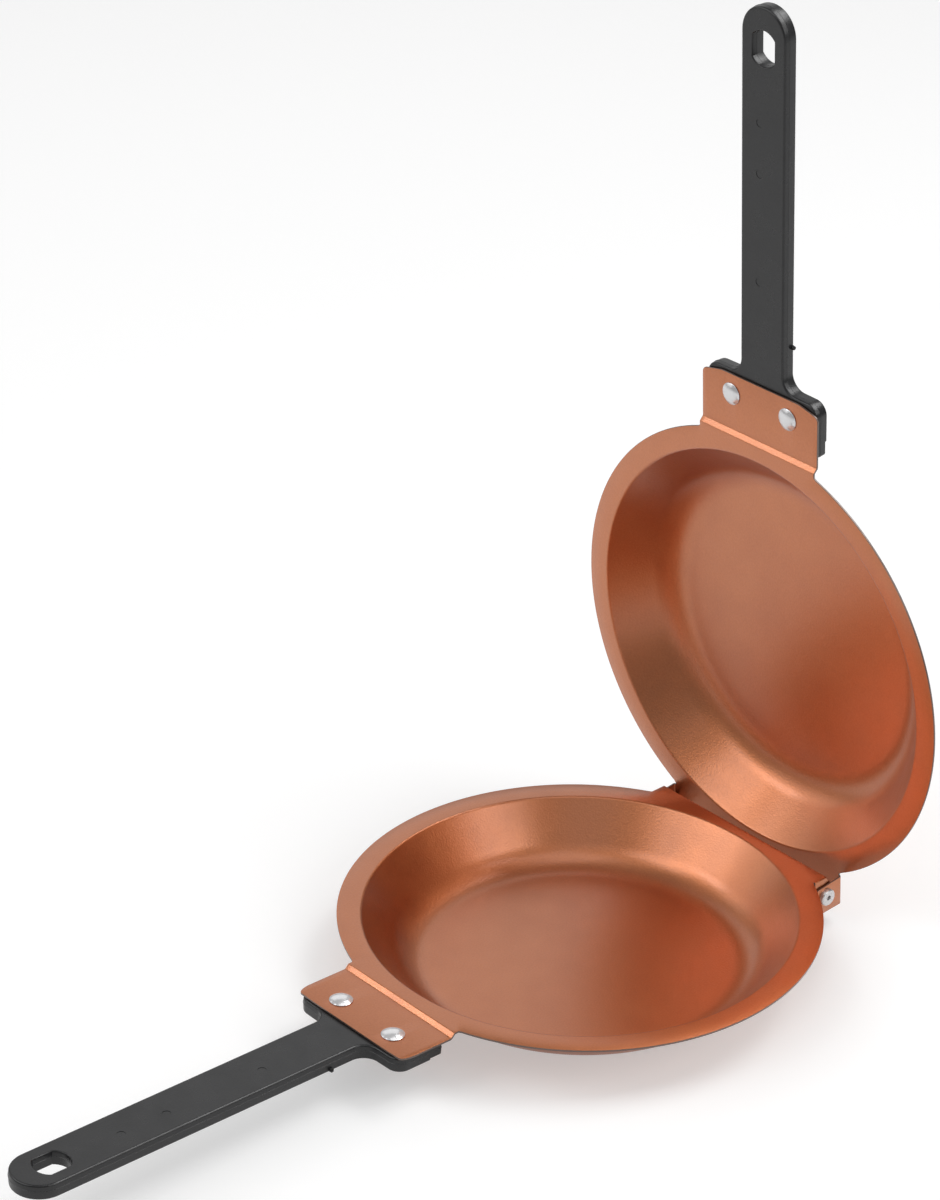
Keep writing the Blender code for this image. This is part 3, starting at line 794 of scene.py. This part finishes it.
# The rivets that hold the handles: bright aluminium, domed by the rivet set on the cooking side,
# with a washer and a rolled tail in each of the handle's counterbores.
RIVET_SPACING = 2 * RIVET_X
RIVET_HEAD_RADIUS = 4.8 * MM
RIVET_HEAD_HEIGHT = 1.65 * MM
RIVET_HEAD_SHOULDER = 2.9 * MM
RIVET_HEAD_BAND = 0.3 * MM
RIVET_HEAD_FOOT = 4.5 * MM
RIVET_SHANK_RADIUS = 2.3 * MM
RIVET_TAIL_RADIUS = 3.6 * MM
RIVET_TAIL_HEIGHT = 1.2 * MM
RIVET_TAIL_BEND = 0.6 * MM
RIVET_TAIL_ROOT = 0.1 * MM
WASHER_RADIUS = 4.9 * MM
WASHER_THICKNESS = 0.8 * MM
WASHER_CORNER = 0.15 * MM
SEAT_DEPTH = SHEET + HANDLE_GAP + HANDLE_THICKNESS - COUNTERBORE_DEPTH
TAIL_DEPTH = SEAT_DEPTH + WASHER_THICKNESS


def pair_up(tree, geometry, spacing):
    """Two of a turned piece, a spacing apart along X."""
    n = add_nodes(
        tree,
        ("line", "GeometryNodeMeshLine", {"mode": "END_POINTS"}),
        ("half", "ShaderNodeMath", {"operation": "MULTIPLY"}),
        ("left", "ShaderNodeCombineXYZ", {}),
        ("right", "ShaderNodeCombineXYZ", {}),
        ("minus", "ShaderNodeMath", {"operation": "MULTIPLY"}),
        ("copies", "GeometryNodeInstanceOnPoints", {}))
    n["line"].inputs["Count"].default_value = 2
    n["half"].inputs[1].default_value = 0.5
    n["minus"].inputs[1].default_value = -0.5
    tree.links.new(spacing, n["half"].inputs[0])
    tree.links.new(spacing, n["minus"].inputs[0])
    tree.links.new(geometry, n["copies"].inputs["Instance"])
    wire(tree, (n["half"], 0, n["right"], "X"), (n["minus"], 0, n["left"], "X"),
         (n["left"], 0, n["line"], "Start Location"), (n["right"], 0, n["line"], "Offset"),
         (n["line"], "Mesh", n["copies"], "Points"))
    return n["copies"].outputs["Instances"]


def rivet_tree():
    """A pair of domed rivets; depth runs down the shank from the face under the head."""
    tree = shape_tree("handle_rivets", ["Head Radius", "Head Shoulder", "Head Top", "Head Band",
                                        "Head Foot", "Shank Radius", "Tail Radius", "Tail Depth",
                                        "Tail End", "Tail Bend", "Spacing", "Columns", "Steps"])
    source = add_nodes(tree, ("in", "NodeGroupInput", {}))["in"]
    size = source.outputs
    dome = add_nodes(
        tree,
        ("band", "ShaderNodeCombineXYZ", {}),
        ("shoulder", "ShaderNodeCombineXYZ", {}),
        ("crown", "ShaderNodeCombineXYZ", {}),
        ("dome", "GeometryNodeCurveQuadraticBezier", {}))
    wire(tree, (source, "Steps", dome["dome"], "Resolution"),
         (source, "Head Radius", dome["band"], "X"), (source, "Head Band", dome["band"], "Y"),
         (source, "Head Shoulder", dome["shoulder"], "X"), (source, "Head Top", dome["shoulder"], "Y"),
         (source, "Head Top", dome["crown"], "Y"), (dome["band"], 0, dome["dome"], "Start"),
         (dome["shoulder"], 0, dome["dome"], "Middle"), (dome["crown"], 0, dome["dome"], "End"))
    body = polyline(
        tree, 4,
        [(size["Head Radius"], size["Head Band"]), (size["Head Foot"], 0.0), (size["Shank Radius"], 0.0),
         (size["Shank Radius"], size["Tail Depth"]), (size["Tail Radius"], size["Tail Depth"]),
         (size["Tail Radius"], size["Tail End"]), (0.0, size["Tail End"])],
        {4: RIVET_TAIL_ROOT, 5: size["Tail Bend"]})
    turned = spin(tree, [dome["dome"].outputs["Curve"], body], size["Columns"])
    return finish_tree(tree, source, pair_up(tree, turned, size["Spacing"]))


def washer_tree():
    """A pair of flat washers with softened corners."""
    tree = shape_tree("washers", ["Radius", "Bore", "Low", "High", "Corner", "Spacing", "Columns"])
    source = add_nodes(tree, ("in", "NodeGroupInput", {}))["in"]
    size = source.outputs
    section = polyline(
        tree, 3,
        [(size["Bore"], size["High"]), (size["Bore"], size["Low"]), (size["Radius"], size["Low"]),
         (size["Radius"], size["High"]), (size["Bore"], size["High"])],
        {1: size["Corner"], 2: size["Corner"], 3: size["Corner"]})
    turned = spin(tree, [section], size["Columns"])
    return finish_tree(tree, source, pair_up(tree, turned, size["Spacing"]))


def set_in_tab(mesh, name, place, sharp_from=40):
    """Outward faces, the tab's place and smooth shading for a mesh made in the tab's axes."""
    bm = bmesh.new()
    bm.from_mesh(mesh)
    bmesh.ops.recalc_face_normals(bm, faces=bm.faces)
    bm.to_mesh(mesh)
    bm.free()
    mesh.transform(place @ Matrix.Translation((0, RIVET_Y, 0)) @ Matrix.Diagonal((1, 1, -1, 1)))
    mesh.flip_normals()
    smooth(mesh, sharp_from)
    return link(name, mesh)


ALUMINIUM_DARK = (0.80, 0.80, 0.81)
ALUMINIUM_LIGHT = (0.92, 0.92, 0.93)
ALUMINIUM_SHEEN = (0.17, 0.25)
ALUMINIUM_METALLIC = 0.6
BRIGHT_GRAIN = 0.01 * MM
aluminium, tree, shader, place = finish_material("bright_rivet_aluminium")
shader.inputs["Metallic"].default_value = ALUMINIUM_METALLIC
grained(tree, shader, place, (ALUMINIUM_DARK, ALUMINIUM_LIGHT), ALUMINIUM_SHEEN, BRIGHT_GRAIN,
        speck_scale=900.0, cloud_scale=260.0)

STEEL_DARK = (0.72, 0.72, 0.73)
STEEL_LIGHT = (0.88, 0.88, 0.89)
STEEL_SHEEN = (0.22, 0.34)
STEEL_METALLIC = 0.7
steel, tree, shader, place = finish_material("bright_plated_steel")
shader.inputs["Metallic"].default_value = STEEL_METALLIC
grained(tree, shader, place, (STEEL_DARK, STEEL_LIGHT), STEEL_SHEEN, BRIGHT_GRAIN,
        speck_scale=900.0, cloud_scale=260.0)

rivets = rivet_tree()
washers = washer_tree()
for half, place in (("lower", LOWER_TAB), ("upper", UPPER_TAB)):
    mesh = shaped("rivets", rivets, head_radius=RIVET_HEAD_RADIUS, head_shoulder=RIVET_HEAD_SHOULDER,
                  head_top=-RIVET_HEAD_HEIGHT, head_band=-RIVET_HEAD_BAND, head_foot=RIVET_HEAD_FOOT,
                  shank_radius=RIVET_SHANK_RADIUS, tail_radius=RIVET_TAIL_RADIUS,
                  tail_depth=TAIL_DEPTH, tail_end=TAIL_DEPTH + RIVET_TAIL_HEIGHT,
                  tail_bend=RIVET_TAIL_BEND, spacing=RIVET_SPACING, columns=64, steps=14,
                  material=aluminium)
    pair = set_in_tab(mesh, half + "_handle_rivets", place)
    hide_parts(half + "_handle_rivet_left", half + "_handle_rivet_right")
    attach(pair, half + "_half")
    mesh = shaped("washers", washers, radius=WASHER_RADIUS, bore=RIVET_HOLE_RADIUS, low=SEAT_DEPTH,
                  high=TAIL_DEPTH, corner=WASHER_CORNER, spacing=RIVET_SPACING, columns=56,
                  material=steel)
    pair = set_in_tab(mesh, half + "_rivet_washers", place)
    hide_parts(half + "_rivet_washer_left", half + "_rivet_washer_right")
    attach(pair, half + "_half")


# The hinge's two tubular rivets: bright plated steel, the head outside the upper pan's ear and the
# tube's end rolled over inside the lower pan's. The tube's bore stays open at the head.
HINGE_BARREL_RADIUS = 2.2 * MM
HINGE_BORE_RADIUS = 1.0 * MM
HINGE_HEAD_RADIUS = 3.75 * MM
HINGE_HEAD_HEIGHT = 1.8 * MM
HINGE_HEAD_BEND = 0.8 * MM
HINGE_TAIL_RADIUS = 3.4 * MM
HINGE_TAIL_HEIGHT = 1.0 * MM
HINGE_TAIL_BEND = 0.6 * MM
HINGE_LIP = 0.35 * MM
HINGE_SLACK = 0.05 * MM
HINGE_HEAD_FOOT = UPPER_EAR_X + SHEET + HINGE_SLACK
HINGE_TAIL_FOOT = LOWER_EAR_X - SHEET - 2 * HINGE_SLACK


def hinge_rivet_tree():
    """One tubular rivet, turned from a section that starts and ends in its bore."""
    tree = shape_tree("hinge_rivet", ["Bore", "Barrel", "Head Radius", "Head Top", "Head Foot",
                                      "Tail Radius", "Tail Foot", "Tail Top", "Head Bend",
                                      "Tail Bend", "Lip", "Columns", "Steps"])
    source = add_nodes(tree, ("in", "NodeGroupInput", {}))["in"]
    size = source.outputs
    section = polyline(
        tree, size["Steps"],
        [(size["Bore"], size["Tail Foot"]), (size["Bore"], size["Head Top"]),
         (size["Head Radius"], size["Head Top"]), (size["Head Radius"], size["Head Foot"]),
         (size["Barrel"], size["Head Foot"]), (size["Barrel"], size["Tail Foot"]),
         (size["Tail Radius"], size["Tail Foot"]), (size["Tail Radius"], size["Tail Top"]),
         (size["Bore"], size["Tail Top"]), (size["Bore"], size["Tail Foot"])],
        {1: size["Lip"], 2: size["Head Bend"], 7: size["Tail Bend"], 8: size["Lip"]})
    return finish_tree(tree, source, spin(tree, [section], size["Columns"]))


hinge_rivet = shaped("hinge_rivet", hinge_rivet_tree(), bore=HINGE_BORE_RADIUS,
                     barrel=HINGE_BARREL_RADIUS, head_radius=HINGE_HEAD_RADIUS,
                     head_top=HINGE_HEAD_FOOT + HINGE_HEAD_HEIGHT, head_foot=HINGE_HEAD_FOOT,
                     tail_radius=HINGE_TAIL_RADIUS, tail_foot=HINGE_TAIL_FOOT,
                     tail_top=HINGE_TAIL_FOOT - HINGE_TAIL_HEIGHT, head_bend=HINGE_HEAD_BEND,
                     tail_bend=HINGE_TAIL_BEND, lip=HINGE_LIP, columns=64, steps=8,
                     material=steel)
for side, turn in (("left", math.pi / 2), ("right", -math.pi / 2)):
    mesh = hinge_rivet.copy()
    bm = bmesh.new()
    bm.from_mesh(mesh)
    bmesh.ops.recalc_face_normals(bm, faces=bm.faces)
    bm.to_mesh(mesh)
    bm.free()
    mesh.transform(Matrix.Translation(PIVOT) @ Matrix.Rotation(turn, 4, "Y"))
    smooth(mesh)
    rivet = link("hinge_rivet_tube_" + side, mesh)
    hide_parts("hinge_rivet_" + side)
    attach(rivet, "lower_half")


# The floor, the light and the camera. The pan stands on a plain white floor in a ring of soft
# boxes: a strong one high behind it, one over the front and one behind to the right, with weaker
# ones to its left, to the front right and overhead. The floor shows white, but lights nothing.
FLOOR_TONE = (0.62, 0.62, 0.62)
FLOOR_HALF = 6.0
FLOOR_LIFT = 0.42
FLOOR_LIFT_REFLECTED = 0.58
floor_mesh = bpy.data.meshes.new("floor")
floor_mesh.from_pydata([(-FLOOR_HALF, -FLOOR_HALF, 0), (FLOOR_HALF, -FLOOR_HALF, 0),
                        (FLOOR_HALF, FLOOR_HALF, 0), (-FLOOR_HALF, FLOOR_HALF, 0)], [], [(0, 1, 2, 3)])
floor = link("floor", floor_mesh)
white, tree, shader, place = finish_material("white_floor")
shader.inputs["Base Color"].default_value = (*FLOOR_TONE, 1)
shader.inputs["Roughness"].default_value = 0.9
shader.inputs["Specular IOR Level"].default_value = 0.1
shader.inputs["Emission Color"].default_value = (1, 1, 1, 1)
lift = add_nodes(
    tree,
    ("rays", "ShaderNodeLightPath", {}),
    ("seen", "ShaderNodeMath", {"operation": "MULTIPLY_ADD"}),
    ("lift", "ShaderNodeMath", {"operation": "MULTIPLY"}))
lift["lift"].inputs[1].default_value = FLOOR_LIFT
lift["seen"].inputs[1].default_value = FLOOR_LIFT_REFLECTED
wire(tree, (lift["rays"], "Is Glossy Ray", lift["seen"], 0),
     (lift["rays"], "Is Camera Ray", lift["seen"], 2),
     (lift["seen"], 0, lift["lift"], 0), (lift["lift"], 0, shader, "Emission Strength"))
floor_mesh.materials.append(white)

ROOM_LIGHT = 0.22
world = bpy.data.worlds.new("studio")
bpy.context.scene.world = world
world.use_nodes = True
world.node_tree.nodes["Background"].inputs["Strength"].default_value = ROOM_LIGHT
world.node_tree.nodes["Background"].inputs["Color"].default_value = (1, 1, 1, 1)

LAMP_AIM = Vector((0, 0, 0.12))
LAMP_REACH = 1.7
SOFT_BOXES = [
    ("left_front", 216, 25, 1.5, 1.0, 0.66),
    ("left_sparkle", 221, 33, 0.5, 0.4, 2.9),
    ("front_key", 248, 46, 0.9, 1.0, 2.0),
    ("front_high", 312, 50, 0.8, 0.7, 0.45),
    ("right_back", 15, 33, 1.2, 0.8, 2.25),
    ("back_high", 70, 56, 1.2, 0.7, 5.4),
    ("left_back", 150, 30, 1.4, 1.2, 0.62),
    ("top", 0, 82, 0.9, 0.9, 1.05)]


def soft_box(name, bearing, height, width, depth, brightness):
    """An evenly lit rectangle that faces the pan, from a bearing and height in degrees."""
    data = bpy.data.lights.new(name, "AREA")
    data.shape = "RECTANGLE"
    data.size = width
    data.size_y = depth
    data.energy = brightness * math.pi * width * depth
    lamp = link(name, data)
    bearing, height = math.radians(bearing), math.radians(height)
    away = Vector((math.cos(height) * math.cos(bearing), math.cos(height) * math.sin(bearing),
                   math.sin(height)))
    facing = away.to_track_quat("Z", "Y").to_matrix().to_4x4()
    lamp.matrix_world = Matrix.Translation(LAMP_AIM + LAMP_REACH * away) @ facing


for box in SOFT_BOXES:
    soft_box(*box)

CAMERA_PLACE = (0.99532, -0.95087, 0.91621)
CAMERA_LENS = 152.31
CAMERA_SENSOR = 36.0
CAMERA_RIGHT = (0.66330188, 0.74831957, 0.00696031)
CAMERA_DOWN = (0.3612886, -0.31206922, -0.87868273)
CAMERA_AHEAD = (-0.65536339, 0.58534659, -0.47735543)
camera_data = bpy.data.cameras.new("camera")
camera_data.sensor_fit = "HORIZONTAL"
camera_data.sensor_width = CAMERA_SENSOR
camera_data.lens = CAMERA_LENS
camera = link("camera", camera_data)
turn = Matrix((CAMERA_RIGHT, [-v for v in CAMERA_DOWN], [-v for v in CAMERA_AHEAD])).transposed()
camera.matrix_world = Matrix.Translation(CAMERA_PLACE) @ turn.to_4x4()
bpy.context.scene.camera = camera
bpy.context.scene.view_settings.view_transform = "Standard"
